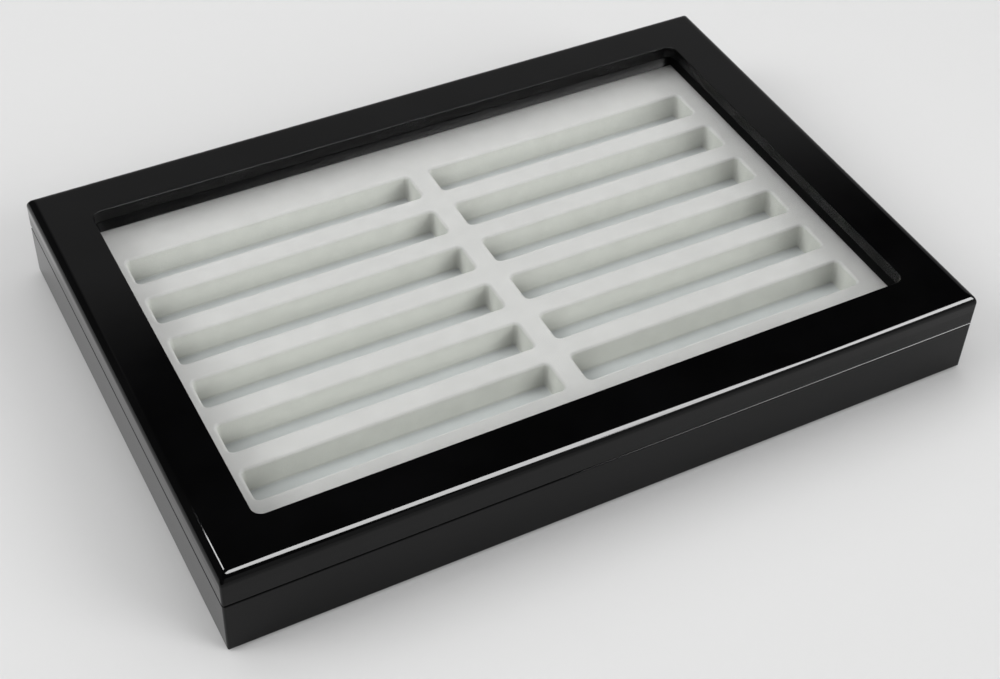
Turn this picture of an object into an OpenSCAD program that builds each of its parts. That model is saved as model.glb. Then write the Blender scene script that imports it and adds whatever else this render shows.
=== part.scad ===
// Pen box: a shallow lacquered wooden case with a glazed, hinged lid and a formed, flocked tray of slots.
// Millimetres. X runs left to right, Y front to back, Z up.
// The origin is the middle of the footprint, on the surface that the box stands on.

/* [Case] */
// Width of the case, left to right
box_width = 380; // [340:1:440]
// Depth of the case, front to back
box_depth = 261; // [240:1:320]
// Height of the base walls
base_height = 29; // [26:0.5:40]
// Height of the lid, from the seam to its top face
lid_height = 17; // [15:0.5:24]
// Thickness of the walls
wall = 12; // [10:0.5:15]
// Radius of the upright corners
corner_r = 1.5; // [0.5:0.25:4]
// Radius along the top edges of the lid
top_round = 4.5; // [2:0.25:6]
// Radius of the edges that meet at the seam
seam_edge_r = 0.8; // [0.3:0.1:1.5]
// Radius of the bottom edges of the base
foot_edge_r = 1; // [0.3:0.1:2]
// Gap between the closed lid and the base
seam_gap = 0.3; // [0.1:0.05:0.6]

/* [Bottom] */
// Thickness of the bottom panel
panel_thickness = 5; // [3:0.5:8]
// Width of the rebate under the walls that takes the panel
panel_rebate = 6; // [4:0.5:8]
// Gap round the panel in its rebate
panel_clearance = 0.2; // [0.1:0.05:0.5]
// Thickness of the felt under the base
felt_thickness = 1; // [0.5:0.1:3]
// How far the felt stops short of the outside
felt_inset = 2; // [1:0.5:6]
// Radius of the corners of the felt
felt_corner_r = 3; // [1:0.5:8]

/* [Window] */
// Width of the frame round the window
window_border = 25; // [22:0.5:40]
// Radius of the corners of the window
window_corner_r = 5; // [2:0.5:12]
// Radius of the top edge of the window
window_edge_r = 0.8; // [0.3:0.1:1.5]
// Thickness of the frame over the glass
frame_lip = 6.5; // [4:0.25:8]
// Thickness of the glass
glass_thickness = 2.5; // [2:0.25:4]
// How far the glass runs over the beads
glass_bearing = 4.25; // [2:0.25:6]
// Radius of the corners of the glass
glass_corner_r = 4; // [1:0.5:8]
// Gap round the glass in its rebate
glass_clearance = 0.5; // [0.2:0.1:1]
// How far the beads stand back from the edge of the window
bead_setback = 1.75; // [1:0.25:6]
// How far the beads stop above the underside of the lid
bead_recess = 0.3; // [0.2:0.1:1]
// Radius of the lower inner edge of the beads
bead_edge_r = 1.5; // [0.5:0.25:3]

/* [Tray] */
// Thickness of the formed sheet with its flock
tray_wall = 1.2; // [0.8:0.1:1.6]
// Gap between the tray and the walls
tray_clearance = 0.5; // [0.2:0.1:1.5]
// How far the tray lies below the seam
tray_drop = 0.3; // [0.1:0.1:2]
// Radius of the upright corners of the tray
tray_corner_r = 4; // [2:0.5:8]
// Width of a slot between its walls
slot_width = 18; // [14:0.5:20]
// Distance from one slot to the next
slot_pitch = 30; // [26:0.5:40]
// Depth of a slot
slot_depth = 13.5; // [9:0.5:16]
// Distance from the ends of the slots to the edge of the window
slot_end_margin = 8; // [5:0.5:30]
// Least distance from the first and last slots to the edge of the window
slot_side_margin = 18; // [8:0.5:30]
// Width of the bar between the two columns of slots
column_gap = 12; // [9:0.5:30]
// Radius of the corners of a slot, seen from above
slot_corner_r = 2.5; // [2:0.25:7]
// Radius of the top edges of the slots and of the tray
slot_edge_r = 1.6; // [1.4:0.1:2.2]
// Radius between the walls and the floor of a slot
slot_floor_r = 0.75; // [0.5:0.25:3]
// How much each wall of a slot leans in towards the floor
slot_draft = 0.75; // [0.25:0.25:1.5]

/* [Hinges] */
// Width of a hinge
hinge_width = 34; // [28:1:50]
// Distance from the side of the box to the middle of a hinge
hinge_inset = 75; // [50:1:110]
// Thickness of the leaves
leaf_thickness = 1; // [0.8:0.1:1.4]
// Wood left between a leaf and the inside of the wall
leaf_margin = 1.5; // [1:0.25:2]
// Gap round a leaf in its mortise
leaf_clearance = 0.15; // [0.05:0.05:0.3]
// Radius of the corners of a leaf
leaf_corner_r = 1; // [0.5:0.25:2]
// Outer radius of the knuckles
knuckle_r = 2; // [1.8:0.1:2.4]
// Length of each of the two outer knuckles
knuckle_length = 10; // [8:0.5:12]
// Gap between neighbouring knuckles, and round them
knuckle_gap = 0.35; // [0.3:0.05:0.5]
// How far the knuckles stand in from the back of the box
knuckle_recess = 0.5; // [0.2:0.1:1]
// Radius of the hinge pin
pin_r = 1; // [0.7:0.05:1.2]
// Radial running clearance of the pin
pin_clearance = 0.05; // [0.02:0.01:0.1]
// Angle at which the bevels at the back stop the lid
opening_angle = 95; // [90:1:105]
// Radius of a screw head
screw_head_r = 2; // [1.5:0.1:2.2]
// Radius of a screw shank
screw_shank_r = 1; // [0.7:0.05:1.2]
// Length of the point of a screw
screw_point = 2; // [1:0.25:2.5]
// Wood left over the point of a screw in the lid
screw_cover = 1.2; // [0.8:0.1:2]
// Distance between the screws of a leaf
screw_spacing = 18; // [14:0.5:22]
// Gap round a screw in its hole
screw_clearance = 0.08; // [0.04:0.01:0.2]

/* [Hidden] */

$fn = 48;
// Extra reach of a cut past the face that it opens
cut = 1;
// Smallest radius that is drawn
least_r = 0.1;

// Heights of the case
rail_z = felt_thickness;
panel_top_z = rail_z + panel_thickness;
seam_z = rail_z + base_height;
lid_z = seam_z + seam_gap;
top_z = seam_z + lid_height;
glass_top_z = top_z - frame_lip;
glass_z = glass_top_z - glass_thickness;

// Inside of the walls, window, glass and beads
inner_w = box_width - 2 * wall;
inner_d = box_depth - 2 * wall;
window_w = box_width - 2 * window_border;
window_d = box_depth - 2 * window_border;
bead_inner_w = window_w + 2 * bead_setback;
bead_inner_d = window_d + 2 * bead_setback;
pane_w = bead_inner_w + 2 * glass_bearing;
pane_d = bead_inner_d + 2 * glass_bearing;
bead_z = lid_z + bead_recess;

// Tray and slots
tray_w = inner_w - 2 * tray_clearance;
tray_d = inner_d - 2 * tray_clearance;
tray_z = seam_z - tray_drop;
slot_length = (window_w - column_gap) / 2 - slot_end_margin;
slot_column_x = (slot_length + column_gap) / 2;
slot_rows = floor((window_d - 2 * slot_side_margin - slot_width) / slot_pitch) + 1;
slot_row_y = [for (row = [0 : slot_rows - 1]) (row - (slot_rows - 1) / 2) * slot_pitch];
floor_r = min(slot_floor_r, slot_corner_r - slot_draft);
under_edge_r = max(slot_edge_r - tray_wall, least_r);

// Hinge axis and leaves
pivot_inset = knuckle_r + knuckle_recess;
pivot_y = box_depth / 2 - pivot_inset;
pivot_z = seam_z + seam_gap / 2;
pocket_r = knuckle_r + knuckle_gap;
leaf_depth = wall - pivot_inset - leaf_margin;
hinge_x = box_width / 2 - hinge_inset;
screw_y = -(pocket_r + leaf_depth) / 2;
screw_length = glass_z - lid_z - screw_cover;
// Knuckles along the axis, each as its middle and its length
outer_knuckles = [for (x = [-1, 1]) [x * (hinge_width - knuckle_length) / 2, knuckle_length]];
middle_knuckle = [[0, hinge_width - 2 * knuckle_length - 2 * knuckle_gap]];

// Colours
lacquer = "#0b0b0d";
board = "#6b5238";
felt = "#1b1b1d";
flock = "#cbcac6";
nickel = "#b9bcc0";
steel = "#8f9398";
glass = [0.8, 0.9, 0.9, 0.25];

// Rectangle with round corners, centred
module outline(w, d, r) {
    square([w - 2 * r, d], center = true);
    square([w, d - 2 * r], center = true);
    for (x = [-1, 1], y = [-1, 1])
        translate([x * (w / 2 - r), y * (d / 2 - r)]) circle(r);
}

module plate(w, d, r, z, height) {
    translate([0, 0, z]) linear_extrude(height) outline(w, d, r);
}

// Upright section of a slab: w wide and h high, with round lower and upper edges
module slab_section(w, h, r_low, r_top) {
    translate([-w / 2, r_low]) square([w, h - r_low - r_top]);
    translate([-w / 2 + r_low, 0]) square([w - 2 * r_low, h / 2]);
    translate([-w / 2 + r_top, h / 2]) square([w - 2 * r_top, h / 2]);
    for (x = [-1, 1]) {
        translate([x * (w / 2 - r_top), h - r_top]) circle(r_top);
        if (r_low > 0) translate([x * (w / 2 - r_low), r_low]) circle(r_low);
    }
}

// Block with round edges all round: the common part of two sections and the outline
module slab(w, d, r, z, h, r_low, r_top) {
    intersection() {
        translate([0, d, z]) rotate([90, 0, 0]) linear_extrude(2 * d) slab_section(w, h, r_low, r_top);
        translate([-w, 0, z]) rotate([90, 0, 90]) linear_extrude(2 * w) slab_section(d, h, r_low, r_top);
        plate(w, d, r, z - cut, h + 2 * cut);
    }
}

// Half section of a well, out from the line through the centres of its corners and in by core.
// The top edge is rounded off, the wall leans in and a radius joins it to the floor.
module well_section(core, reach, depth, edge_r, floor_r, draft) {
    foot = reach - draft;
    difference() {
        polygon([
            [-core, 0], [reach + edge_r, 0], [reach + edge_r, -edge_r], [reach, -edge_r],
            [foot, floor_r - depth], [foot, -depth], [-core, -depth]
        ]);
        translate([reach + edge_r, -edge_r]) circle(edge_r);
        if (floor_r > 0) difference() {
            translate([foot - floor_r, -depth - cut]) square(floor_r + cut);
            translate([foot - floor_r, floor_r - depth]) circle(floor_r);
        }
    }
}

// The hollow of a well whose mouth lies at z = 0: its section, carried along four walls and round four bends.
// The walls that face front and back reach in to the middle and fill the well.
module well(l, w, corner_r, depth, edge_r, floor_r, draft) {
    straight = [l - 2 * corner_r, w - 2 * corner_r];
    for (turn = [0 : 3], bend = [false, true]) {
        out = straight[turn % 2] / 2;
        along = straight[(turn + 1) % 2];
        rotate([0, 0, 90 * turn]) translate([out, along / 2])
            if (bend)
                rotate_extrude(angle = 90) well_section(0, corner_r, depth, edge_r, floor_r, draft);
            else
                rotate([90, 0, 0]) linear_extrude(along)
                    well_section(turn % 2 * out, corner_r, depth, edge_r, floor_r, draft);
    }
}

// Plan of one side of the case between its two mitres: front, back, left or right
module mitred(side) {
    x = box_width / 2 + cut;
    y = box_depth / 2 + cut;
    turn = side == "back" || side == "right" ? -1 : 1;
    across = side == "front" || side == "back";
    linear_extrude(top_z + cut)
        polygon(across
            ? [[-x, -y * turn], [x, -y * turn], [x - y, 0], [y - x, 0]]
            : [[-x * turn, -y], [(y - x) * turn, 0], [-x * turn, y]]);
}

// Wedge that is cleared behind the hinge axis, below the seam or above it, so that the lid can swing
module rear_bevel(z, way) {
    back = pivot_inset + cut;
    translate([-box_width / 2 - cut, pivot_y, z]) rotate([90, 0, 90]) linear_extrude(box_width + 2 * cut)
        polygon([[0, 0], [back, 0], [back, way * back * tan(opening_angle / 2)]]);
}

// Cylinder along the hinge axis, centred on x = 0 in the hinge's own frame
module along_axis(r, length) {
    rotate([0, 90, 0]) cylinder(r = r, h = length, center = true);
}

module at_hinge(side) {
    translate([side * hinge_x, pivot_y, pivot_z]) children();
}

// Places the screws of one leaf: way is -1 for the base, 1 for the lid
module at_screws(way) {
    for (x = [-1, 1])
        translate([x * screw_spacing / 2, screw_y, way * seam_gap / 2])
            rotate([way > 0 ? 180 : 0, 0, 0]) children();
}

// Countersunk screw, head up with its face at z = 0
module screw(grow) {
    neck = screw_head_r - screw_shank_r;
    rotate_extrude()
        polygon([
            [0, 0], [screw_head_r + grow, 0], [screw_shank_r + grow, -neck],
            [screw_shank_r + grow, screw_point - screw_length], [0, -screw_length - grow]
        ]);
}

// Room for one hinge in the base or the lid: mortise, knuckle pocket and screw holes
module hinge_room(way) {
    face = way * seam_gap / 2;
    w = hinge_width + 2 * leaf_clearance;
    d = leaf_depth + leaf_clearance;
    z = way > 0 ? face - cut : face - leaf_thickness;
    translate([-w / 2, -d, z]) cube([w, d, leaf_thickness + cut]);
    along_axis(pocket_r, hinge_width + 2 * knuckle_gap);
    at_screws(way) screw(screw_clearance);
}

// Leaf let into the rim, with knuckles at the given places along the axis: [middle, length]
module leaf(way, knuckles, neighbours) {
    face = way * seam_gap / 2;
    difference() {
        union() {
            translate([0, -leaf_depth / 2, way > 0 ? face : face - leaf_thickness])
                linear_extrude(leaf_thickness)
                    outline(hinge_width, leaf_depth, leaf_corner_r);
            for (k = knuckles) translate([k[0], 0, 0]) along_axis(knuckle_r, k[1]);
        }
        for (k = neighbours) translate([k[0], 0, 0]) along_axis(pocket_r, k[1] + 2 * knuckle_gap);
        along_axis(pin_r + pin_clearance, hinge_width + 2 * cut);
        at_screws(way) screw(screw_clearance);
    }
}

module base_leaf(side) {
    color(nickel) at_hinge(side) leaf(-1, outer_knuckles, middle_knuckle);
}

module lid_leaf(side) {
    color(nickel) at_hinge(side) leaf(1, middle_knuckle, outer_knuckles);
}

module hinge_pin(side) {
    color(steel) at_hinge(side) along_axis(pin_r, hinge_width);
}

module hinge_screws(way) {
    color(steel) for (side = [-1, 1]) at_hinge(side) at_screws(way) screw(0);
}

// The room inside the walls
module inside() {
    translate([-inner_w / 2, -inner_d / 2, 0]) cube([inner_w, inner_d, top_z]);
}

// The four base walls are parted from one blank at the mitres
module base_walls() {
    difference() {
        slab(box_width, box_depth, corner_r, rail_z, base_height, foot_edge_r, seam_edge_r);
        inside();
        translate([-inner_w / 2 - panel_rebate, -inner_d / 2 - panel_rebate, 0])
            cube([inner_w + 2 * panel_rebate, inner_d + 2 * panel_rebate, panel_top_z]);
        rear_bevel(seam_z, -1);
    }
}

module base_rail(side) {
    color(lacquer) difference() {
        intersection() {
            base_walls();
            mitred(side);
        }
        if (side == "back") for (x = [-1, 1]) at_hinge(x) hinge_room(-1);
    }
}

module base_panel() {
    w = inner_w + 2 * panel_rebate - 2 * panel_clearance;
    d = inner_d + 2 * panel_rebate - 2 * panel_clearance;
    color(board) translate([-w / 2, -d / 2, rail_z]) cube([w, d, panel_thickness]);
}

module base_felt() {
    color(felt)
        plate(box_width - 2 * felt_inset, box_depth - 2 * felt_inset, felt_corner_r, 0, felt_thickness);
}

// Places its children at the mouth of every slot
module at_slots() {
    for (x = [-1, 1], y = slot_row_y) translate([x * slot_column_x, y, tray_z]) children();
}

// Thin shell: a top sheet on a skirt that stands on the panel, with the slots drawn down into it
module pen_tray() {
    height = tray_z - panel_top_z;
    color(flock) difference() {
        union() {
            difference() {
                slab(tray_w, tray_d, tray_corner_r, panel_top_z, height, 0, slot_edge_r);
                slab(tray_w - 2 * tray_wall, tray_d - 2 * tray_wall, tray_corner_r - tray_wall,
                     panel_top_z - cut, height - tray_wall + cut, 0, under_edge_r);
            }
            at_slots()
                plate(slot_length + 2 * tray_wall, slot_width + 2 * tray_wall, slot_corner_r + tray_wall,
                      -slot_depth - tray_wall, slot_depth);
        }
        at_slots() well(slot_length, slot_width, slot_corner_r, slot_depth, slot_edge_r, floor_r, slot_draft);
    }
}

// The lid's top frame and its four walls are parted from one blank at the level of the glass's underside
module lid_blank() {
    slab(box_width, box_depth, corner_r, lid_z, top_z - lid_z, seam_edge_r, top_round);
}

module below_glass() {
    translate([-box_width, -box_depth, 0]) cube([2 * box_width, 2 * box_depth, glass_z]);
}

module lid_top_frame() {
    color(lacquer) difference() {
        lid_blank();
        below_glass();
        translate([0, 0, top_z])
            well(window_w, window_d, window_corner_r, frame_lip + cut, window_edge_r, 0, 0);
        plate(pane_w + 2 * glass_clearance, pane_d + 2 * glass_clearance, glass_corner_r + glass_clearance,
              glass_z - cut, glass_thickness + cut);
    }
}

module lid_rail(side) {
    color(lacquer) difference() {
        intersection() {
            lid_blank();
            mitred(side);
            below_glass();
        }
        inside();
        rear_bevel(lid_z, 1);
        if (side == "back") for (x = [-1, 1]) at_hinge(x) hinge_room(1);
    }
}

module window_pane() {
    color(glass) plate(pane_w, pane_d, glass_corner_r, glass_z, glass_thickness);
}

// Strip that holds the glass up against the frame, glued to the lid's walls
module glazing_bead(side) {
    h = glass_z - bead_z;
    across = side == "front" || side == "back";
    turn = side == "front" ? 180 : side == "left" ? 90 : side == "right" ? -90 : 0;
    inner = (across ? bead_inner_d : bead_inner_w) / 2;
    outer = (across ? inner_d : inner_w) / 2;
    color(lacquer) intersection() {
        rotate([0, 0, turn]) translate([-box_width, 0, bead_z])
            rotate([90, 0, 90]) linear_extrude(2 * box_width) {
                translate([inner + bead_edge_r, 0]) square([outer - inner - bead_edge_r, h]);
                translate([inner, bead_edge_r]) square([bead_edge_r, h - bead_edge_r]);
                translate([inner + bead_edge_r, bead_edge_r]) circle(bead_edge_r);
            }
        mitred(side);
    }
}

base_rail("front");  // base_front_rail
base_rail("back");  // base_back_rail
base_rail("left");  // base_left_rail
base_rail("right");  // base_right_rail
base_panel();
base_felt();
pen_tray();
lid_top_frame();
lid_rail("front");  // lid_front_rail
lid_rail("back");  // lid_back_rail
lid_rail("left");  // lid_left_rail
lid_rail("right");  // lid_right_rail
window_pane();
glazing_bead("front");  // glazing_bead_front
glazing_bead("back");  // glazing_bead_back
glazing_bead("left");  // glazing_bead_left
glazing_bead("right");  // glazing_bead_right
base_leaf(-1);  // left_hinge_base_leaf
lid_leaf(-1);  // left_hinge_lid_leaf
hinge_pin(-1);  // left_hinge_pin
base_leaf(1);  // right_hinge_base_leaf
lid_leaf(1);  // right_hinge_lid_leaf
hinge_pin(1);  // right_hinge_pin
hinge_screws(-1);  // hinge_base_screws
hinge_screws(1);  // hinge_lid_screws
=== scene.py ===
"""Looks of a pen box: a lacquered wooden case with a glazed, hinged lid over a flocked tray of slots.

The packed solids are the frame, in metres: X left to right, Y front to back, Z up.
Each new piece is a surface worked out with numpy, most of them stacks of rectangles with round corners.
"""

import math

import bmesh
import bpy
import numpy as np
from bpy.props import FloatProperty, FloatVectorProperty, PointerProperty
from mathutils import Matrix, Vector


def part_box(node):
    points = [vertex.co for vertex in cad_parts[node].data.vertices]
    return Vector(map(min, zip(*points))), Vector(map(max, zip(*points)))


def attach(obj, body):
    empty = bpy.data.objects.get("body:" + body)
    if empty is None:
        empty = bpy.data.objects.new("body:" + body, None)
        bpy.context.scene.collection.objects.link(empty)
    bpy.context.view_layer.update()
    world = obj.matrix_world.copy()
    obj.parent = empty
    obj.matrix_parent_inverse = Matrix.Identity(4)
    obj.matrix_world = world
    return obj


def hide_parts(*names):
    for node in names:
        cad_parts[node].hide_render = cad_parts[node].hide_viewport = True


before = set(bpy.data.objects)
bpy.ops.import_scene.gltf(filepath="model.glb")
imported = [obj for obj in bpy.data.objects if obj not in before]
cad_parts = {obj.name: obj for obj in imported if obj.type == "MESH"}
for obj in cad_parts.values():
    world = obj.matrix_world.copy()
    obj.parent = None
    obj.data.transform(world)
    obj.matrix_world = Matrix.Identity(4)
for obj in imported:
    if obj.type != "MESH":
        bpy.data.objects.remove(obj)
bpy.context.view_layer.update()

bl_info = {
    "name": "Pen box",
    "version": (1, 0, 0),
    "blender": (4, 5, 0),
    "location": "3D View > Sidebar > Pen box",
    "description": "Builds the finished surfaces of a pen box round its packed solids",
    "category": "Object",
}

MM = 0.001

# Rows of slots in each column of the tray
SLOT_ROWS = 6

# Steps of the grids
BEND_STEPS = 8
ROUND_STEPS = 10
SLOT_LENGTH_STEPS = 24
SLOT_WIDTH_STEPS = 2
SLOT_FLOOR_STEPS = 4
FELT_LENGTH_STEPS = 18
FELT_DEPTH_STEPS = 12
FELT_FACE_STEPS = 10
SCREW_TURN_STEPS = 48
SCREW_FACE_STEPS = 28
SCREW_CONE_STEPS = 5
SCREW_SHANK_STEPS = 35
SCREW_POINT_STEPS = 11

# Width of the narrow flat row that keeps a flat face's shading flat beside a rounded edge
GUARD = 0.12 * MM
# Points closer than this are one point
SAME_POINT = 0.001 * MM
# Decimals of a metre to which the places of the tray's border are rounded, so that like ones are one
LIKE_DECIMALS = 9
SHARP_ANGLE = math.radians(32)

# Least radius of a slot's corners, as a share of the slot's half width
LEAST_CORNER = 1 / 12
# Share of the flat at the tray's corners that the outer cells' square corners take up
CELL_CORNER = 0.6

# Rim of a screw's head, slope of its recess, and least core of its thread as a share of the radius
HEAD_RIM = 0.08 * MM
RECESS_SLOPE = 0.15 * MM
LEAST_CORE = 0.4

# Indices of refraction, set to the strength of the reflections
LACQUER_IOR = 1.26
GLASS_IOR = 1.3

# Painted shade in the slots along the feet of the walls, where height counts more than distance from the
# wall
FOOT_SHADE = 0.75
FOOT_REACH = 5 * MM
FOOT_RISE = 3.0
# Painted shade down in the slots' ends, with the shares of it that are left at the mouth and in the middle
END_SHADE = 0.42
END_REACH = 18 * MM
END_MOUTH = 0.2
END_MIDDLE = 0.2

# How far the floor lies below the felt
FLOOR_DROP = 0.05 * MM
# Shares of the floor's half width: the single face in its middle, and the radius of its corners
FLOOR_MIDDLE = 0.1
FLOOR_CORNER = 0.05

# The room: slant and place of the soft line below its ceiling, and where its left side fades out
CEILING_SLANT = (0.21, 0.0, 1.0)
CEILING_LINE = (0.69, 0.745)
LEFT_FADE = (-0.15, 0.12)

# Soft lights that don't show in gloss: name, place, target, size and radiance
SOFTBOXES = (
    ("key_softbox", (-0.4, 1.6, 4.1), (0.0, 0.0, 0.0), (3.3, 3.3), 0.9),
    ("left_softbox", (-6.4, 1.8, 4.8), (0.0, 0.0, 0.0), (4.0, 4.0), 5.6),
    ("right_softbox", (4.4, -5.6, 3.4), (0.0, 0.0, 0.0), (4.0, 4.0), 6.2),
    ("top_softbox", (0.0, 0.3, 4.0), (0.0, 0.3, 0.0), (14.0, 12.0), 0.79),
)

# Lights that only show as streaks in gloss: name, place, size, direction and what they shine on
STRIP_HEIGHT = 1.02
STRIP_RADIANCE = 40.0
STRIPS = (
    ("near_strip", (0.28, -0.365), (1.4, 0.4), (0.555, -0.83, 0.0), "lid_top"),
    ("far_strip", (1.2, -1.18), (1.1, 0.8), (0.82, -0.57, 0.0), "case"),
    ("back_strip", (-0.25, 0.61), (0.16, 0.08), (1.0, 0.0, 0.0), "case"),
)

BASE_RAILS = ["base_front_rail", "base_back_rail", "base_left_rail", "base_right_rail"]
LID_RAILS = ["lid_front_rail", "lid_back_rail", "lid_left_rail", "lid_right_rail"]
BEADS = ["glazing_bead_front", "glazing_bead_back", "glazing_bead_left", "glazing_bead_right"]
LEAVES = ["left_hinge_base_leaf", "left_hinge_lid_leaf", "right_hinge_base_leaf", "right_hinge_lid_leaf"]
PINS = ["left_hinge_pin", "right_hinge_pin"]


# Settings

def length(name, description, default):
    """A length in metres."""
    return FloatProperty(name=name, description=description, default=default, unit="LENGTH", precision=5)


def colour(name, description, default):
    """A colour in linear light."""
    return FloatVectorProperty(
        name=name, description=description, default=default, subtype="COLOR", min=0, max=1,
    )


class PenBoxCase(bpy.types.PropertyGroup):
    """The lacquered case."""

    corner_r: length("Corner radius", "Radius of the upright corners", 1.5 * MM)
    top_round: length("Top edge radius", "Radius along the top edges of the lid", 4.5 * MM)
    window_border: length("Window border", "Width of the frame round the window", 25 * MM)
    window_corner_r: length("Window corner radius", "Radius of the corners of the window", 5 * MM)
    window_edge_r: length("Window edge radius", "Radius of the top edge of the window", 0.1 * MM)
    window_foot_r: length("Window foot radius", "Radius of the window's edge on the glass", 0.4 * MM)
    lacquer: colour("Lacquer", "Colour under the clear coat", (0.0014, 0.0014, 0.0015))


class PenBoxGlass(bpy.types.PropertyGroup):
    """The pane in the lid."""

    corner_r: length("Corner radius", "Radius of the corners of the pane", 4 * MM)
    arris: length("Arris", "Width of the ground edge of the pane", 0.3 * MM)
    clearance: length("Clearance", "Gap round the pane in its rebate", 0.5 * MM)
    tint: colour("Tint", "Colour of light that has passed the pane", (0.985, 0.995, 0.99))


class PenBoxTray(bpy.types.PropertyGroup):
    """The formed and flocked tray."""

    sheet: length("Sheet", "Thickness of the formed sheet", 1.2 * MM)
    corner_r: length("Corner radius", "Radius of the upright corners of the tray", 4 * MM)
    slot_length: length("Slot length", "Length of a slot between its end walls", 151 * MM)
    slot_width: length("Slot width", "Width of a slot between its walls", 18 * MM)
    slot_pitch: length("Slot pitch", "Distance from one slot to the next", 30 * MM)
    slot_depth: length("Slot depth", "Depth of a slot", 13.5 * MM)
    column_gap: length("Column gap", "Width of the bar between the two columns of slots", 12 * MM)
    slot_corner_r: length("Slot corner radius", "Radius of the corners of a slot, from above", 2.5 * MM)
    slot_edge_r: length("Slot edge radius", "Radius of the top edges of slots and tray", 1.6 * MM)
    slot_floor_r: length("Slot floor radius", "Radius between the walls and the floor of a slot", 0.75 * MM)
    slot_draft: length("Slot draft", "How much each wall leans in towards the floor", 0.75 * MM)
    # Painted light: the top, the walls and the floors are lit and shaded copies of one flock colour
    top_colour_and_light: colour("Top", "Flock on the top of the tray", (0.538, 0.525, 0.521))
    wall_colour_and_light: colour("Walls", "Flock on the walls of the slots", (0.645, 0.645, 0.611))
    floor_colour_and_light: colour("Floors", "Flock on the floors of the slots", (0.60, 0.616, 0.622))


class PenBoxFelt(bpy.types.PropertyGroup):
    """The felt under the base."""

    corner_r: length("Corner radius", "Radius of the corners of the felt", 3 * MM)
    edge_r: length("Edge radius", "Radius of the soft cut edge", 0.4 * MM)
    wave: length("Wave", "Height of the waves in the felt's two faces", 0.05 * MM)
    wave_length: length("Wave length", "Distance from one wave to the next", 21 * MM)
    dye: colour("Dye", "Colour of the felt", (0.012, 0.012, 0.014))


class PenBoxHinge(bpy.types.PropertyGroup):
    """The hinges and their screws."""

    screw_spacing: length("Screw spacing", "Distance between the screws of a leaf", 18 * MM)
    shank_r: length("Shank radius", "Radius of a screw over its thread", 1 * MM)
    thread_depth: length("Thread depth", "Depth of the thread", 0.22 * MM)
    thread_pitch: length("Thread pitch", "Distance from one turn of the thread to the next", 0.8 * MM)
    point: length("Point", "Length of the point of a screw", 2 * MM)
    recess_width: length("Recess width", "Width of the arms of the cross in a screw head", 0.62 * MM)
    recess_reach: length("Recess reach", "Length of an arm of the cross from its middle", 1.25 * MM)
    recess_depth: length("Recess depth", "Depth of the cross", 0.55 * MM)
    nickel: colour("Nickel", "Colour of the plated leaves", (0.50, 0.485, 0.46))
    steel: colour("Steel", "Colour of the pins and screws", (0.48, 0.48, 0.49))


class PenBoxStage(bpy.types.PropertyGroup):
    """The floor, the light and the camera."""

    camera_place: FloatVectorProperty(
        name="Camera", description="Place of the camera", default=(-0.3043, -0.5516, 0.6025), subtype="XYZ",
        unit="LENGTH",
    )
    camera_turn: FloatVectorProperty(
        name="Camera turn", description="Turn of the camera about X, Y and Z",
        default=tuple(math.radians(angle) for angle in (45.542, -1.751, -27.609)), subtype="EULER",
    )
    lens: FloatProperty(
        name="Lens", description="Focal length on a 36 mm frame, in millimetres", default=63.06,
    )
    floor_size: length("Floor", "Width of the floor", 30.0)
    floor: colour("Floor colour", "Colour of the floor", (0.61, 0.61, 0.61))
    wall_light: FloatProperty(
        name="Wall light", description="Brightness of the room below its ceiling", default=0.53,
    )
    left_light: FloatProperty(
        name="Left light", description="Brightness of the room's left side", default=0.085,
    )
    ceiling_light: FloatProperty(
        name="Ceiling light", description="Brightness of the ceiling", default=0.014,
    )


SETTINGS = {
    "pen_box_case": PenBoxCase,
    "pen_box_glass": PenBoxGlass,
    "pen_box_tray": PenBoxTray,
    "pen_box_felt": PenBoxFelt,
    "pen_box_hinge": PenBoxHinge,
    "pen_box_stage": PenBoxStage,
}


# Surfaces

def round_trip(bend, along_x, along_y):
    """Stations once round a rectangle, anticlockwise: the two signs of a corner, and a heading.
    Round a corner the heading turns a quarter; along a side the signs run from one corner to the next."""
    corners = np.array([[1, 1], [-1, 1], [-1, -1], [1, -1]], float)
    parts = []
    for quarter, steps in enumerate((along_x, along_y, along_x, along_y)):
        turn = math.pi / 2 * (quarter + np.linspace(0, 1, bend + 1))
        share = np.linspace(0, 1, steps + 1)[1:-1, None]
        here = corners[quarter]
        there = corners[(quarter + 1) % 4]
        signs = np.concatenate([np.repeat(here[None], bend + 1, axis=0), here + (there - here) * share])
        heading = np.concatenate([turn, np.full(len(share), turn[-1])])
        parts.append(np.column_stack([signs, heading]))
    return np.concatenate(parts)


def stack(way, half_x, half_y, radius, height, middle=(0.0, 0.0), square=0.0):
    """Rectangles with round corners, one row of points to each, along the stations of way.
    x is the middle, plus the sign times the half width less the radius, plus the radius times the cosine
    of the heading. y is the same with the half depth and the sine. A square of 1 makes square corners."""
    rows = len(height)
    sign_x, sign_y, heading = way.T
    half_x, half_y, radius, square = (
        np.broadcast_to(np.asarray(value, float), (rows,)) for value in (half_x, half_y, radius, square)
    )
    middle = np.broadcast_to(np.asarray(middle, float), (rows, 2))
    longest = np.maximum(abs(np.cos(heading)), abs(np.sin(heading)))
    arm = radius[:, None] / longest[None, :] ** square[:, None]
    x = middle[:, :1] + np.outer(half_x - radius, sign_x) + arm * np.cos(heading)
    y = middle[:, 1:] + np.outer(half_y - radius, sign_y) + arm * np.sin(heading)
    z = np.repeat(np.asarray(height, float)[:, None], len(way), axis=1)
    return np.stack([x, y, z], axis=-1)


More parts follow.
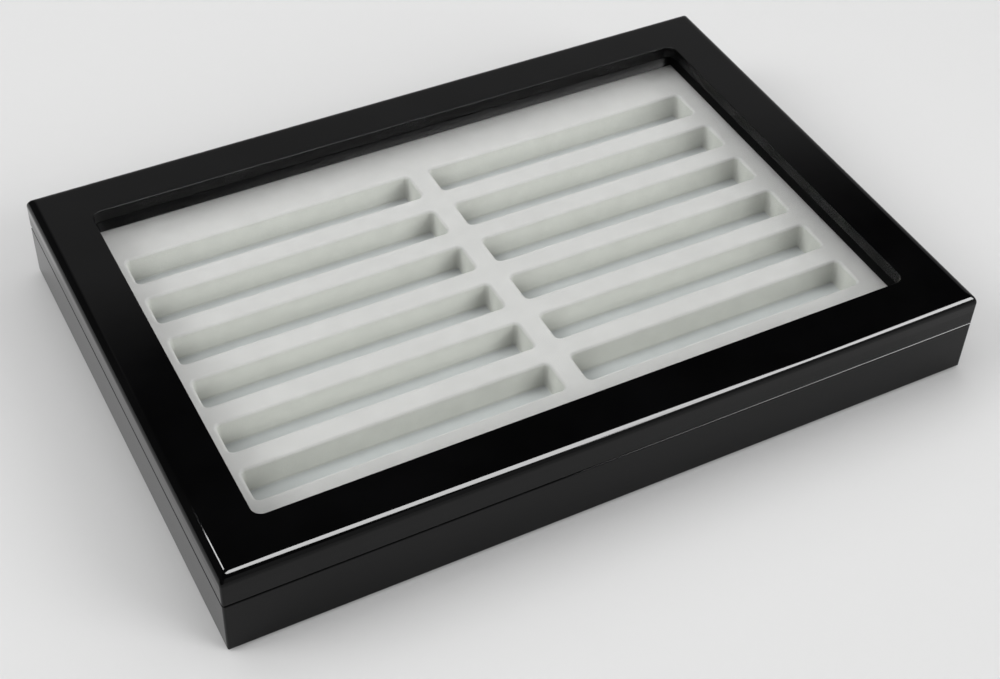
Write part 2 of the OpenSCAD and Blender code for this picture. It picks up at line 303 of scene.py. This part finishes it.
def quads(rows, columns, close_rows=False):
    """Faces of a grid whose columns run once round, as corner numbers. Rows may close on themselves too."""
    row = np.arange(rows if close_rows else rows - 1)[:, None]
    column = np.arange(columns)[None, :]
    above = (row + 1) % rows * columns
    beside = (column + 1) % columns
    row = row * columns
    return np.stack([row + column, row + beside, above + beside, above + column], axis=-1).reshape(-1, 4)


def rounded(before, corner, after, radius):
    """Quarter round in place of a square corner of a section, with a guard point on each side.
    A point lies the radius from the arc's centre and turns from one side's direction to the other's."""
    before, corner, after = (np.asarray(point, float) for point in (before, corner, after))
    back = (before - corner) / np.linalg.norm(before - corner)
    on = (after - corner) / np.linalg.norm(after - corner)
    turn = np.linspace(0, math.pi / 2, ROUND_STEPS + 1)[:, None]
    arc = corner + radius * (back + on - on * np.cos(turn) - back * np.sin(turn))
    return np.concatenate([[arc[0] + back * GUARD], arc, [arc[-1] + on * GUARD]])


def new_piece(name, parts, finish, caps=()):
    """Object at the origin from (points, faces) parts, with points that meet merged and sharp edges kept."""
    starts = np.cumsum([0] + [len(points) for points, _ in parts])
    points = np.concatenate([points for points, _ in parts])
    faces = np.concatenate([faces + start for (_, faces), start in zip(parts, starts)])
    mesh = bpy.data.meshes.new(name)
    mesh.from_pydata(points.tolist(), [], faces.tolist() + [list(cap) for cap in caps])
    work = bmesh.new()
    work.from_mesh(mesh)
    bmesh.ops.remove_doubles(work, verts=work.verts, dist=SAME_POINT)
    work.to_mesh(mesh)
    work.free()
    mesh.validate()
    mesh.shade_smooth()
    mesh.set_sharp_from_angle(angle=SHARP_ANGLE)
    mesh.materials.append(finish)
    piece = bpy.data.objects.new(name, mesh)
    bpy.context.scene.collection.objects.link(piece)
    return piece


def grid_part(grid, close_rows=False):
    """A grid of points and its faces."""
    return grid.reshape(-1, 3), quads(grid.shape[0], grid.shape[1], close_rows)


# Finishes

def add(tree, kind, inputs=None, **options):
    """Adds a shader node. An input takes a socket, which is linked, or a value."""
    node = tree.nodes.new("ShaderNode" + kind)
    for option, value in options.items():
        setattr(node, option, value)
    for name, value in (inputs or {}).items():
        if isinstance(value, bpy.types.NodeSocket):
            tree.links.new(value, node.inputs[name])
        else:
            node.inputs[name].default_value = value
    return node


def new_finish(name, inputs):
    """A material with one Principled shader, and the object coordinates that its patterns read."""
    finish = bpy.data.materials.new(name)
    finish.use_nodes = True
    tree = finish.node_tree
    shader = tree.nodes["Principled BSDF"]
    for socket, value in inputs.items():
        shader.inputs[socket].default_value = value
    place = add(tree, "TexCoord").outputs["Object"]
    return finish, tree, shader, place


def noise(tree, place, size, detail=3.0, stretch=(1, 1, 1)):
    """Noise with features of the given size in metres, drawn out along an axis by its stretch."""
    scale = tuple(1 / (size * axis) for axis in stretch)
    mapped = add(tree, "Mapping", {"Vector": place, "Scale": scale}).outputs["Vector"]
    return add(tree, "TexNoise", {"Vector": mapped, "Scale": 1.0, "Detail": detail}).outputs["Fac"]


def calc(tree, operation, first, second=0.0):
    """Result of an operation on two values, or on one where it takes only one."""
    return add(tree, "Math", {0: first, 1: second}, operation=operation).outputs["Value"]


def between(tree, value, low, high, start=0.25, end=0.75, curve="LINEAR"):
    """Carries a value from start..end to low..high, clamped."""
    inputs = {"Value": value, "From Min": start, "From Max": end, "To Min": low, "To Max": high}
    return add(tree, "MapRange", inputs, interpolation_type=curve).outputs["Result"]


def ramp(tree, value, *stops):
    """Colour by value: each stop is a place from 0 to 1 and a colour."""
    node = add(tree, "ValToRGB", {"Fac": value})
    elements = node.color_ramp.elements
    while len(elements) < len(stops):
        elements.new(1.0)
    for element, (place, shade) in zip(elements, stops):
        element.position = place
        element.color = (*shade, 1.0)
    return node.outputs["Color"]


def brighten(tree, shade, value):
    """A colour made lighter or darker by a varying value near 1."""
    return add(tree, "HueSaturation", {"Color": shade, "Value": value}).outputs["Color"]


def raised(tree, shader, *reliefs):
    """Gives the shader a bumpy normal from (height, distance in metres) reliefs, one on another."""
    normal = None
    for height, distance in reliefs:
        inputs = {"Height": height, "Distance": distance, "Strength": 1.0}
        if normal is not None:
            inputs["Normal"] = normal
        normal = add(tree, "Bump", inputs).outputs["Normal"]
    tree.links.new(normal, shader.inputs["Normal"])


def scaled(shade, share):
    """A colour times a number."""
    return tuple(share * value for value in shade)


def lacquer_finish(name, shade, rough, peel, mirror):
    """Lacquer over wood: faint orange peel, patchy polish and a trace of depth in the black."""
    finish, tree, shader, place = new_finish(name, {"IOR": LACQUER_IOR, "Specular IOR Level": mirror})
    cloud = noise(tree, place, 35 * MM)
    skin = noise(tree, place, 8 * MM, 1.0)
    dust = noise(tree, place, 0.35 * MM, 2.0)
    polish = calc(tree, "MULTIPLY", cloud, dust)
    depth = ramp(tree, cloud, (0.3, scaled(shade, 0.7)), (0.7, scaled(shade, 1.4)))
    tree.links.new(depth, shader.inputs["Base Color"])
    tree.links.new(between(tree, polish, *rough, start=0.12, end=0.4), shader.inputs["Roughness"])
    raised(tree, shader, (skin, peel))
    return finish


def painted_slot_shade(tree, tray, apart, rise):
    """Painted shade in the slots, as a value up to 1: darker along the feet of the walls and down in both
    ends.
    """
    column_x, row_y = slot_places(tray)
    from_column = calc(tree, "SUBTRACT", calc(tree, "ABSOLUTE", apart["X"]), column_x)
    from_row = calc(tree, "SUBTRACT", apart["Y"], row_y[-1])
    along = calc(tree, "ABSOLUTE", from_column)
    aside = calc(tree, "PINGPONG", from_row, tray.slot_pitch / 2)
    half_length = tray.slot_length / 2
    half_width = tray.slot_width / 2
    wall_gap = between(tree, aside, half_width, 0.0, 0.0, half_width)
    up = calc(tree, "MULTIPLY", rise, FOOT_RISE)
    foot = between(tree, calc(tree, "ADD", wall_gap, up), FOOT_SHADE, 1.0, 0.0, FOOT_REACH, "SMOOTHSTEP")
    end = between(tree, along, 0.0, END_SHADE, half_length - END_REACH, half_length, "SMOOTHSTEP")
    low = between(tree, rise, 1.0, END_MOUTH, 0.0, tray.slot_depth)
    below = between(tree, rise, 1.0, 0.0, tray.slot_depth - tray.slot_edge_r, tray.slot_depth)
    side = between(tree, aside, END_MIDDLE, 1.0, 0.0, half_width)
    corner = calc(tree, "MULTIPLY", calc(tree, "MULTIPLY", end, side), calc(tree, "MINIMUM", low, below))
    return calc(tree, "MULTIPLY", foot, calc(tree, "SUBTRACT", 1.0, corner))


def flock_finish(tray, floor_z, top_z):
    """Short nylon pile on a formed sheet, brushed into patches, with a fine grain. Painted light makes the
    walls lighter and the floors cooler, and painted shade darkens the slots' corners.
    """
    finish, tree, shader, place = new_finish(
        "flock", {"Roughness": 0.95, "Sheen Weight": 0.15, "Sheen Roughness": 0.5},
    )
    apart = add(tree, "SeparateXYZ", {"Vector": place}).outputs
    level = between(tree, apart["Z"], 0.0, 1.0, floor_z, top_z)
    slot_shade = painted_slot_shade(tree, tray, apart, calc(tree, "SUBTRACT", apart["Z"], floor_z))
    # Painted light: the flock's colour changes with height, lighter on the walls and cooler on the floors
    shade = ramp(
        tree, level, (0.0, tuple(tray.floor_colour_and_light)), (0.02, tuple(tray.wall_colour_and_light)),
        (0.88, tuple(tray.wall_colour_and_light)), (0.99, tuple(tray.top_colour_and_light)),
    )
    nap = noise(tree, place, 9 * MM, 5.0)
    pile = noise(tree, place, 0.45 * MM, 3.0)
    brushed = between(tree, nap, 0.97, 1.03, 0.3, 0.7)
    grain = between(tree, pile, 0.9, 1.1, 0.2, 0.8)
    # Painted shade in the slots' corners darkens the colour, then the brushed patches and the grain vary it
    shade = brighten(tree, brighten(tree, brighten(tree, shade, slot_shade), brushed), grain)
    tree.links.new(shade, shader.inputs["Base Color"])
    raised(tree, shader, (nap, 0.05 * MM), (pile, 0.12 * MM))
    return finish


def glass_finish(glass):
    """Clear float glass with a faint wiping haze. Light on its way to the tray passes straight through."""
    finish, tree, shader, place = new_finish(
        "window_glass", {"Base Color": (*glass.tint, 1.0), "Transmission Weight": 1.0, "IOR": GLASS_IOR},
    )
    haze = noise(tree, place, 30 * MM, 4.0, (3, 1, 1))
    tree.links.new(between(tree, haze, 0.0, 0.006, 0.45, 0.75), shader.inputs["Roughness"])
    path = add(tree, "LightPath")
    passing = calc(tree, "MAXIMUM", path.outputs["Is Shadow Ray"], path.outputs["Is Diffuse Ray"])
    clear = add(tree, "BsdfTransparent", {"Color": (*glass.tint, 1.0)})
    mixed = add(tree, "MixShader", {"Fac": passing, 1: shader.outputs["BSDF"], 2: clear.outputs["BSDF"]})
    tree.links.new(mixed.outputs["Shader"], tree.nodes["Material Output"].inputs["Surface"])
    return finish


def felt_finish(felt):
    """Pressed wool: matted fibres in two directions, with paler ends."""
    finish, tree, shader, place = new_finish(
        "felt", {"Roughness": 1.0, "Sheen Weight": 0.3, "Sheen Roughness": 0.6},
    )
    long_fibres = noise(tree, place, 0.5 * MM, 3.0, (6, 1, 1))
    cross_fibres = noise(tree, place, 0.6 * MM, 3.0, (1, 5, 1))
    mat = calc(tree, "MAXIMUM", long_fibres, cross_fibres)
    dye = tuple(felt.dye)
    wool = ramp(tree, mat, (0.4, scaled(dye, 0.6)), (0.75, scaled(dye, 2.2)))
    tree.links.new(wool, shader.inputs["Base Color"])
    raised(tree, shader, (mat, 0.2 * MM))
    return finish


def board_finish():
    """Hardboard: pressed brown fibre with flecks."""
    finish, tree, shader, place = new_finish("hardboard", {})
    fleck = noise(tree, place, 1.5 * MM, 6.0, (2, 1, 1))
    cloud = noise(tree, place, 40 * MM)
    shade = ramp(
        tree, fleck, (0.3, (0.09, 0.05, 0.025)), (0.55, (0.17, 0.10, 0.05)), (0.8, (0.24, 0.15, 0.08)),
    )
    tree.links.new(brighten(tree, shade, between(tree, cloud, 0.9, 1.1)), shader.inputs["Base Color"])
    tree.links.new(between(tree, fleck, 0.5, 0.75), shader.inputs["Roughness"])
    raised(tree, shader, (fleck, 0.08 * MM))
    return finish


def metal_finish(name, shade, rough, lay):
    """Brushed metal: fine scratches along lay, an axis's stretch, with a patchy polish."""
    finish, tree, shader, place = new_finish(name, {"Metallic": 1.0})
    scratch = noise(tree, place, 0.08 * MM, 2.0, lay)
    patch = noise(tree, place, 4 * MM)
    worn = calc(tree, "ADD", scratch, patch)
    plating = ramp(tree, worn, (0.6, scaled(shade, 0.85)), (1.0, scaled(shade, 1.1)))
    tree.links.new(plating, shader.inputs["Base Color"])
    tree.links.new(between(tree, worn, *rough, start=0.6, end=1.4), shader.inputs["Roughness"])
    raised(tree, shader, (scratch, 0.004 * MM))
    return finish


def dress(names, finish):
    """Puts a finish on CAD nodes in place of the one that they came with."""
    for name in names:
        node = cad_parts[name]
        if not node.material_slots:
            node.data.materials.append(finish)
        for slot in node.material_slots:
            slot.material = finish


def seat(piece, body, slot, *nodes):
    """A piece that rides on a body and stands for nodes, which it hides. The slot is not used."""
    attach(piece, body)
    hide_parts(*nodes)


# Pieces

def lid_section(case, glass, low, high, pane_high):
    """Section of the lid's top board from its outer lower corner: inset, height and radius from above."""
    border = case.window_border
    rebate = high.x - pane_high.x - glass.clearance
    rebate_r = glass.corner_r + glass.clearance
    outer_low = (0.0, low.z)
    outer_top = (0.0, high.z)
    window_top = (border, high.z)
    window_low = (border, pane_high.z)
    under_lip = (rebate, pane_high.z)
    outside = np.concatenate([[outer_low], rounded(outer_low, outer_top, window_top, case.top_round)])
    inside = np.concatenate([
        rounded(outer_top, window_top, window_low, case.window_edge_r),
        rounded(window_top, window_low, under_lip, case.window_foot_r),
    ])
    under = np.array([under_lip, (rebate, low.z)])
    return np.concatenate([
        np.column_stack([outside, np.full(len(outside), case.corner_r)]),
        np.column_stack([inside, case.window_corner_r + border - inside[:, 0]]),
        np.column_stack([under, np.full(len(under), rebate_r)]),
    ])


class PENBOX_OT_case(bpy.types.Operator):
    """Finish the walls of the base and the lid and the strips that hold the glass"""

    bl_idname = "pen_box.case"
    bl_label = "Case walls"

    def execute(self, context):
        case = context.scene.pen_box_case
        shade = tuple(case.lacquer)
        gloss = lacquer_finish("gloss_lacquer", shade, rough=(0.025, 0.06), peel=0.003 * MM, mirror=0.5)
        lacquer_finish("satin_lacquer", shade, rough=(0.2, 0.3), peel=0.003 * MM, mirror=0.56)
        matt = lacquer_finish("matt_lacquer", shade, rough=(0.6, 0.8), peel=0.02 * MM, mirror=0.2)
        dress(BASE_RAILS + LID_RAILS, gloss)
        dress(BEADS, matt)
        return {"FINISHED"}


class PENBOX_OT_lid_top(bpy.types.Operator):
    """Make the top board of the lid, with its round edges and the window routed through it"""

    bl_idname = "pen_box.lid_top"
    bl_label = "Lid top board"

    def execute(self, context):
        low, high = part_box("lid_top_frame")
        _, pane_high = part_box("window_pane")
        case = context.scene.pen_box_case
        inset, height, plan_r = lid_section(case, context.scene.pen_box_glass, low, high, pane_high).T
        # The section is carried once round the board
        way = round_trip(BEND_STEPS, 1, 1)
        grid = stack(way, high.x - inset, high.y - inset, plan_r, height)
        gloss = bpy.data.materials["gloss_lacquer"]
        board = new_piece("lid_top_board", [grid_part(grid, close_rows=True)], gloss)
        board.data.materials.append(bpy.data.materials["satin_lacquer"])
        centre = np.empty(3 * len(board.data.polygons))
        board.data.polygons.foreach_get("center", centre)
        window = np.array([high.x, high.y]) - case.window_border + SAME_POINT
        in_window = (abs(centre.reshape(-1, 3)[:, :2]) < window).all(axis=1)
        board.data.polygons.foreach_set("material_index", in_window.astype(np.int32))
        seat(board, "lid", "lacquer", "lid_top_frame")
        return {"FINISHED"}


class PENBOX_OT_pane(bpy.types.Operator):
    """Make the glass with its ground edge"""

    bl_idname = "pen_box.pane"
    bl_label = "Window glass"

    def execute(self, context):
        glass = context.scene.pen_box_glass
        low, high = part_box("window_pane")
        # Four rectangles with round corners, the lowest and the highest set in by the ground edge
        inset = np.array([glass.arris, 0.0, 0.0, glass.arris])
        height = np.array([low.z, low.z + glass.arris, high.z - glass.arris, high.z])
        way = round_trip(BEND_STEPS, 1, 1)
        grid = stack(way, high.x - inset, high.y - inset, glass.corner_r - inset, height)
        first = np.arange(len(way))
        caps = [first[::-1], first + (len(height) - 1) * len(way)]
        pane = new_piece("window_glass", [grid_part(grid)], glass_finish(glass), caps)
        seat(pane, "lid", "glass", "window_pane")
        return {"FINISHED"}


def slot_places(tray):
    """Distance of the two columns of slots from the middle, and the places of the rows."""
    column_x = (tray.slot_length + tray.column_gap) / 2
    row_y = (np.arange(SLOT_ROWS) - (SLOT_ROWS - 1) / 2) * tray.slot_pitch
    return column_x, row_y


def slot_section(tray):
    """Offsets from a slot's outline and heights from its mouth: the rounded edge, the leaning wall,
    the radius at its foot, and the floor, which closes in to a line along the slot's middle."""
    turn = np.linspace(0, math.pi / 2, ROUND_STEPS + 1)
    edge_r = tray.slot_edge_r
    floor_r = tray.slot_floor_r
    foot = -tray.slot_draft - floor_r
    edge = [edge_r * (1 - np.sin(turn)), edge_r * (np.cos(turn) - 1)]
    fillet = [foot + floor_r * np.cos(turn), floor_r * (1 - np.sin(turn)) - tray.slot_depth]
    floor = np.linspace(foot - GUARD, -tray.slot_width / 2, SLOT_FLOOR_STEPS)
    offset = np.concatenate([[edge_r + GUARD], edge[0], fillet[0], floor])
    height = np.concatenate([[0.0], edge[1], fillet[1], np.full(SLOT_FLOOR_STEPS, -tray.slot_depth)])
    return offset, height


def slot_cell(tray, slot_middle, cell_low, cell_high, block, top_z, way):
    """The tray's top over one cell, from the cell's square border to the slot's edge and its floor."""
    offset, height = slot_section(tray)
    half_x = tray.slot_length / 2 + offset
    half_y = tray.slot_width / 2 + offset
    radius = np.maximum(tray.slot_corner_r + offset, half_y * LEAST_CORNER)
    cell_middle = (cell_low + cell_high) / 2
    cell_half = (cell_high - cell_low) / 2
    middle = np.concatenate([[cell_middle], np.repeat(slot_middle[None], len(offset), axis=0)])
    square = np.concatenate([[1.0], np.zeros(len(offset))])
    return stack(
        way, np.append(cell_half[0], half_x), np.append(cell_half[1], half_y), np.append(block, radius),
        top_z + np.append(0.0, height), middle, square,
    )


def tray_skirt(tray, border, core, low_z, top_z):
    """The tray's outer wall and top edge, from its foot up to the border of the cells.
    A row lies its own distance out from the nearest point of the core rectangle."""
    xs = np.unique(border[:, 0].round(LIKE_DECIMALS))
    ys = np.unique(border[:, 1].round(LIKE_DECIMALS))
    loop = np.concatenate([
        np.column_stack([xs[:-1], np.full(len(xs) - 1, ys[0])]),
        np.column_stack([np.full(len(ys) - 1, xs[-1]), ys[:-1]]),
        np.column_stack([xs[:0:-1], np.full(len(xs) - 1, ys[-1])]),
        np.column_stack([np.full(len(ys) - 1, xs[0]), ys[:0:-1]]),
    ])
    nearest = np.clip(loop, -core, core)
    gap = np.linalg.norm(loop - nearest, axis=1)
    heading = (loop - nearest) / gap[:, None]
    turn = np.linspace(0, math.pi / 2, ROUND_STEPS + 1)
    flat_r = tray.corner_r - tray.slot_edge_r
    away = np.concatenate([[tray.corner_r], flat_r + tray.slot_edge_r * np.cos(turn), [flat_r - GUARD]])
    rise = np.concatenate([[low_z], top_z - tray.slot_edge_r * (1 - np.sin(turn)), [top_z]])
    distance = np.concatenate([np.repeat(away[:, None], len(loop), axis=1), gap[None]])
    height = np.repeat(np.append(rise, top_z)[:, None], len(loop), axis=1)
    return np.concatenate([nearest + distance[..., None] * heading, height[..., None]], axis=-1)


class PENBOX_OT_tray(bpy.types.Operator):
    """Make the formed tray: a thin flocked sheet with its slots drawn down into it"""

    bl_idname = "pen_box.tray"
    bl_label = "Flocked tray"

    def execute(self, context):
        tray = context.scene.pen_box_tray
        low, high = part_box("pen_tray")
        core = np.array([high.x, high.y]) - tray.corner_r
        block = (tray.corner_r - tray.slot_edge_r) * CELL_CORNER
        outer = core + block
        column_x, row_y = slot_places(tray)
        lines_x = np.array([-outer[0], 0.0, outer[0]])
        lines_y = np.concatenate([[-outer[1]], (row_y[1:] + row_y[:-1]) / 2, [outer[1]]])
        way = round_trip(BEND_STEPS, SLOT_LENGTH_STEPS, SLOT_WIDTH_STEPS)
        cells = []
        for column, x in enumerate((-column_x, column_x)):
            for row, y in enumerate(row_y):
                cell_low = np.array([lines_x[column], lines_y[row]])
                cell_high = np.array([lines_x[column + 1], lines_y[row + 1]])
                cells.append(slot_cell(tray, np.array([x, y]), cell_low, cell_high, block, high.z, way))
        border = np.concatenate([cell[0, :, :2] for cell in cells])
        skirt = tray_skirt(tray, border, core, low.z, high.z)
        finish = flock_finish(tray, high.z - tray.slot_depth, high.z)
        piece = new_piece("flocked_tray", [grid_part(grid) for grid in [*cells, skirt]], finish)
        shell = piece.modifiers.new("sheet", "SOLIDIFY")
        shell.thickness = tray.sheet
        shell.offset = -1.0
        shell.use_even_offset = True
        seat(piece, "base", "flock", "pen_tray")
        return {"FINISHED"}


class PENBOX_OT_bottom(bpy.types.Operator):
    """Make the felt under the base, and finish the board that it is glued to"""

    bl_idname = "pen_box.bottom"
    bl_label = "Bottom board and felt"

    def execute(self, context):
        felt = context.scene.pen_box_felt
        low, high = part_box("base_felt")
        dress(["base_panel"], board_finish())
        half = np.array([high.x, high.y])
        turn = np.linspace(-math.pi / 2, math.pi / 2, ROUND_STEPS + 1)
        spread = np.linspace(half[1], felt.edge_r + GUARD, FELT_FACE_STEPS)
        rim = felt.edge_r * (1 - np.cos(turn))
        inset = np.concatenate([spread, rim, spread[::-1]])
        middle_z = (low.z + high.z) / 2
        face = np.ones(FELT_FACE_STEPS)
        lift = np.concatenate([-face, np.sin(turn), face])
        height = middle_z + lift * (high.z - low.z) / 2
        way = round_trip(BEND_STEPS, FELT_LENGTH_STEPS, FELT_DEPTH_STEPS)
        radius = np.clip(felt.corner_r - inset, 0, None)
        grid = stack(way, half[0] - inset, half[1] - inset, radius, height)
        # Both faces sink in waves: a sine along X times a sine along Y
        phase = grid[..., :2] * 2 * math.pi / felt.wave_length
        wave = np.sin(phase[..., 0]) * np.sin(phase[..., 1])
        inner = (inset > felt.edge_r)[:, None]
        grid[..., 2] -= np.sign(lift)[:, None] * inner * felt.wave * (0.5 + 0.5 * wave)
        piece = new_piece("base_felt_sheet", [grid_part(grid)], felt_finish(felt))
        seat(piece, "base", "felt", "base_felt")
        return {"FINISHED"}


def screw_profile(hinge, head_r, total):
    """Radius and height of a screw, from the middle of its face over cone and shank to its point."""
    face = np.linspace(0, head_r - HEAD_RIM, SCREW_FACE_STEPS)
    cone = np.linspace(head_r, hinge.shank_r, SCREW_CONE_STEPS)
    shank_end = hinge.point - total
    shank = np.linspace(hinge.shank_r - head_r, shank_end, SCREW_SHANK_STEPS + 1)[1:]
    tip = np.linspace(0, 1, SCREW_POINT_STEPS + 1)[1:]
    straight = np.full(SCREW_SHANK_STEPS, hinge.shank_r)
    level = np.zeros(SCREW_FACE_STEPS)
    radius = np.concatenate([face, cone, straight, hinge.shank_r * (1 - tip)])
    height = np.concatenate([level, cone - head_r, shank, shank_end - tip * hinge.point])
    height[SCREW_FACE_STEPS] = -HEAD_RIM
    return radius, height


def screw_grid(hinge, head_r, total):
    """A countersunk screw, head up with its face at z = 0: a profile turned about Z.
    Its face sinks inside a cross, and a triangle wave that climbs one pitch a turn cuts the thread."""
    radius, height = screw_profile(hinge, head_r, total)
    angle = np.linspace(0, 2 * math.pi, SCREW_TURN_STEPS, endpoint=False)
    on_face = (height > -HEAD_RIM / 2)[:, None]
    on_shank = (height < hinge.shank_r - head_r)[:, None]
    turns = height[:, None] / hinge.thread_pitch - angle / (2 * math.pi)
    groove = hinge.thread_depth * abs(2 * (turns % 1.0) - 1)
    full = radius[:, None]
    reach = np.where(on_shank, np.maximum(full - groove, full * LEAST_CORE), full)
    x = reach * np.cos(angle)
    y = reach * np.sin(angle)
    half = hinge.recess_width / 2
    arm_x = np.minimum(half - abs(y), hinge.recess_reach - abs(x))
    arm_y = np.minimum(half - abs(x), hinge.recess_reach - abs(y))
    inside = np.clip(np.maximum(arm_x, arm_y) / RECESS_SLOPE, 0, 1)
    z = height[:, None] - on_face * hinge.recess_depth * inside
    return np.stack([x, y, z], axis=-1)[::-1]


class PENBOX_OT_hinges(bpy.types.Operator):
    """Finish the leaves and pins, and make the countersunk screws"""

    bl_idname = "pen_box.hinges"
    bl_label = "Hinges and screws"

    def execute(self, context):
        hinge = context.scene.pen_box_hinge
        nickel = metal_finish("brushed_nickel", tuple(hinge.nickel), rough=(0.35, 0.5), lay=(60, 1, 1))
        steel = metal_finish("zinc_steel", tuple(hinge.steel), rough=(0.25, 0.45), lay=(8, 8, 1))
        dress(LEAVES, nickel)
        dress(PINS, steel)
        for node, body, up in (("hinge_base_screws", "base", 1), ("hinge_lid_screws", "lid", -1)):
            low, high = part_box(node)
            grid = screw_grid(hinge, (high.y - low.y) / 2, high.z - low.z)
            grid = grid * np.array([1, up, up])
            parts = []
            for pin in PINS:
                pin_low, pin_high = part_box(pin)
                for side in (-0.5, 0.5):
                    middle_x = (pin_low.x + pin_high.x) / 2 + side * hinge.screw_spacing
                    foot = np.array([middle_x, (low.y + high.y) / 2, high.z if up > 0 else low.z])
                    parts.append(grid_part(grid + foot))
            piece = new_piece(node + "_threaded", parts, steel)
            seat(piece, body, "steel", node)
        return {"FINISHED"}


# Stage

def softbox(name, place, target, size, radiance, along=(1.0, 0.0, 0.0), diffuse=True, glossy=True):
    """A rectangular light of even brightness that faces its target, with its width along a direction."""
    light = bpy.data.lights.new(name, "AREA")
    light.shape = "RECTANGLE"
    light.size, light.size_y = size
    light.energy = radiance * math.pi * size[0] * size[1]
    lamp = bpy.data.objects.new(name, light)
    lamp.location = place
    back = (Vector(place) - Vector(target)).normalized()
    side = Vector(along) - back * back.dot(Vector(along))
    side.normalize()
    lamp.rotation_mode = "QUATERNION"
    lamp.rotation_quaternion = Matrix((side, back.cross(side), back)).transposed().to_quaternion()
    lamp.visible_camera = False
    lamp.visible_diffuse = diffuse
    lamp.visible_glossy = glossy
    lamp.visible_transmission = glossy
    bpy.context.scene.collection.objects.link(lamp)
    return lamp


def receivers(name, pieces):
    """Collection of the only pieces that a light shines on."""
    collection = bpy.data.collections.new(name)
    for piece in pieces:
        collection.objects.link(piece)
    return collection


def room_light(stage):
    """Light of the room: even walls that fade to the left, and a soft slanting line below a dark ceiling."""
    world = bpy.data.worlds.new("room")
    bpy.context.scene.world = world
    world.use_nodes = True
    tree = world.node_tree
    heading = add(tree, "TexCoord").outputs["Generated"]
    slant = add(tree, "VectorMath", {0: heading, 1: CEILING_SLANT}, operation="DOT_PRODUCT")
    across = add(tree, "SeparateXYZ", {"Vector": heading})
    wall = between(tree, across.outputs["X"], stage.left_light, stage.wall_light, *LEFT_FADE)
    glow = between(tree, slant.outputs["Value"], wall, stage.ceiling_light, *CEILING_LINE, "SMOOTHSTEP")
    tree.links.new(glow, tree.nodes["Background"].inputs["Strength"])
    tree.nodes["Background"].inputs["Color"].default_value = (1.0, 1.0, 1.0, 1.0)


def floor_finish(shade):
    """Pale matt paper with a trace of unevenness."""
    finish, tree, shader, place = new_finish("floor_paper", {"Roughness": 0.9, "Specular IOR Level": 0.1})
    cloud = noise(tree, place, 0.4, 2.0)
    tree.links.new(ramp(tree, cloud, (0.3, scaled(shade, 0.99)), (0.7, shade)), shader.inputs["Base Color"])
    return finish


class PENBOX_OT_stage(bpy.types.Operator):
    """Make the floor, the lights and the camera"""

    bl_idname = "pen_box.stage"
    bl_label = "Floor, light and camera"

    def execute(self, context):
        stage = context.scene.pen_box_stage
        half = stage.floor_size / 2
        way = round_trip(1, 1, 1)
        inset = np.array([0.0, half * (1 - FLOOR_MIDDLE)])
        grid = stack(way, half - inset, half - inset, half * FLOOR_CORNER, np.full(2, -FLOOR_DROP))
        middle = np.arange(len(way)) + len(way)
        floor = new_piece("floor", [grid_part(grid)], floor_finish(tuple(stage.floor)), [middle])
        room_light(stage)
        for name, place, target, size, radiance in SOFTBOXES:
            softbox(name, place, target, size, radiance, glossy=False)
        board = bpy.data.objects["lid_top_board"]
        rails = [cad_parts[name] for name in BASE_RAILS + LID_RAILS]
        lit = {"lid_top": receivers("lid_top", [board]), "case": receivers("case", [board, *rails])}
        for name, (x, y), size, along, pieces in STRIPS:
            place = (x, y, STRIP_HEIGHT)
            strip = softbox(name, place, (x, y, 0.0), size, STRIP_RADIANCE, along, diffuse=False)
            strip.light_linking.receiver_collection = lit[pieces]
        camera = bpy.data.cameras.new("camera")
        camera.lens = stage.lens
        camera.sensor_width = 36.0
        camera.clip_start = 0.01
        camera.clip_end = 100.0
        view = bpy.data.objects.new("camera", camera)
        view.location = stage.camera_place
        view.rotation_euler = stage.camera_turn
        context.scene.collection.objects.link(view)
        context.scene.camera = view
        context.scene.view_settings.view_transform = "Standard"
        return {"FINISHED"}


class PENBOX_PT_panel(bpy.types.Panel):
    """Pieces of the pen box and their settings"""

    bl_idname = "PENBOX_PT_panel"
    bl_label = "Pen box"
    bl_space_type = "VIEW_3D"
    bl_region_type = "UI"
    bl_category = "Pen box"

    def draw(self, context):
        for operator in OPERATORS:
            self.layout.operator(operator.bl_idname)
        for name, group in SETTINGS.items():
            box = self.layout.box()
            box.label(text=group.__doc__)
            for setting in group.__annotations__:
                box.prop(getattr(context.scene, name), setting)


OPERATORS = [
    PENBOX_OT_case,
    PENBOX_OT_lid_top,
    PENBOX_OT_pane,
    PENBOX_OT_tray,
    PENBOX_OT_bottom,
    PENBOX_OT_hinges,
    PENBOX_OT_stage,
]
CLASSES = [*SETTINGS.values(), *OPERATORS, PENBOX_PT_panel]


def register():
    for kind in CLASSES:
        bpy.utils.register_class(kind)
    for name, group in SETTINGS.items():
        setattr(bpy.types.Scene, name, PointerProperty(type=group))


def unregister():
    for name in SETTINGS:
        delattr(bpy.types.Scene, name)
    for kind in reversed(CLASSES):
        bpy.utils.unregister_class(kind)


def main():
    """Registers the add-on and makes every piece."""
    register()
    bpy.ops.pen_box.case()
    bpy.ops.pen_box.lid_top()
    bpy.ops.pen_box.pane()
    bpy.ops.pen_box.tray()
    bpy.ops.pen_box.bottom()
    bpy.ops.pen_box.hinges()
    bpy.ops.pen_box.stage()


if __name__ == "__main__":
    main()
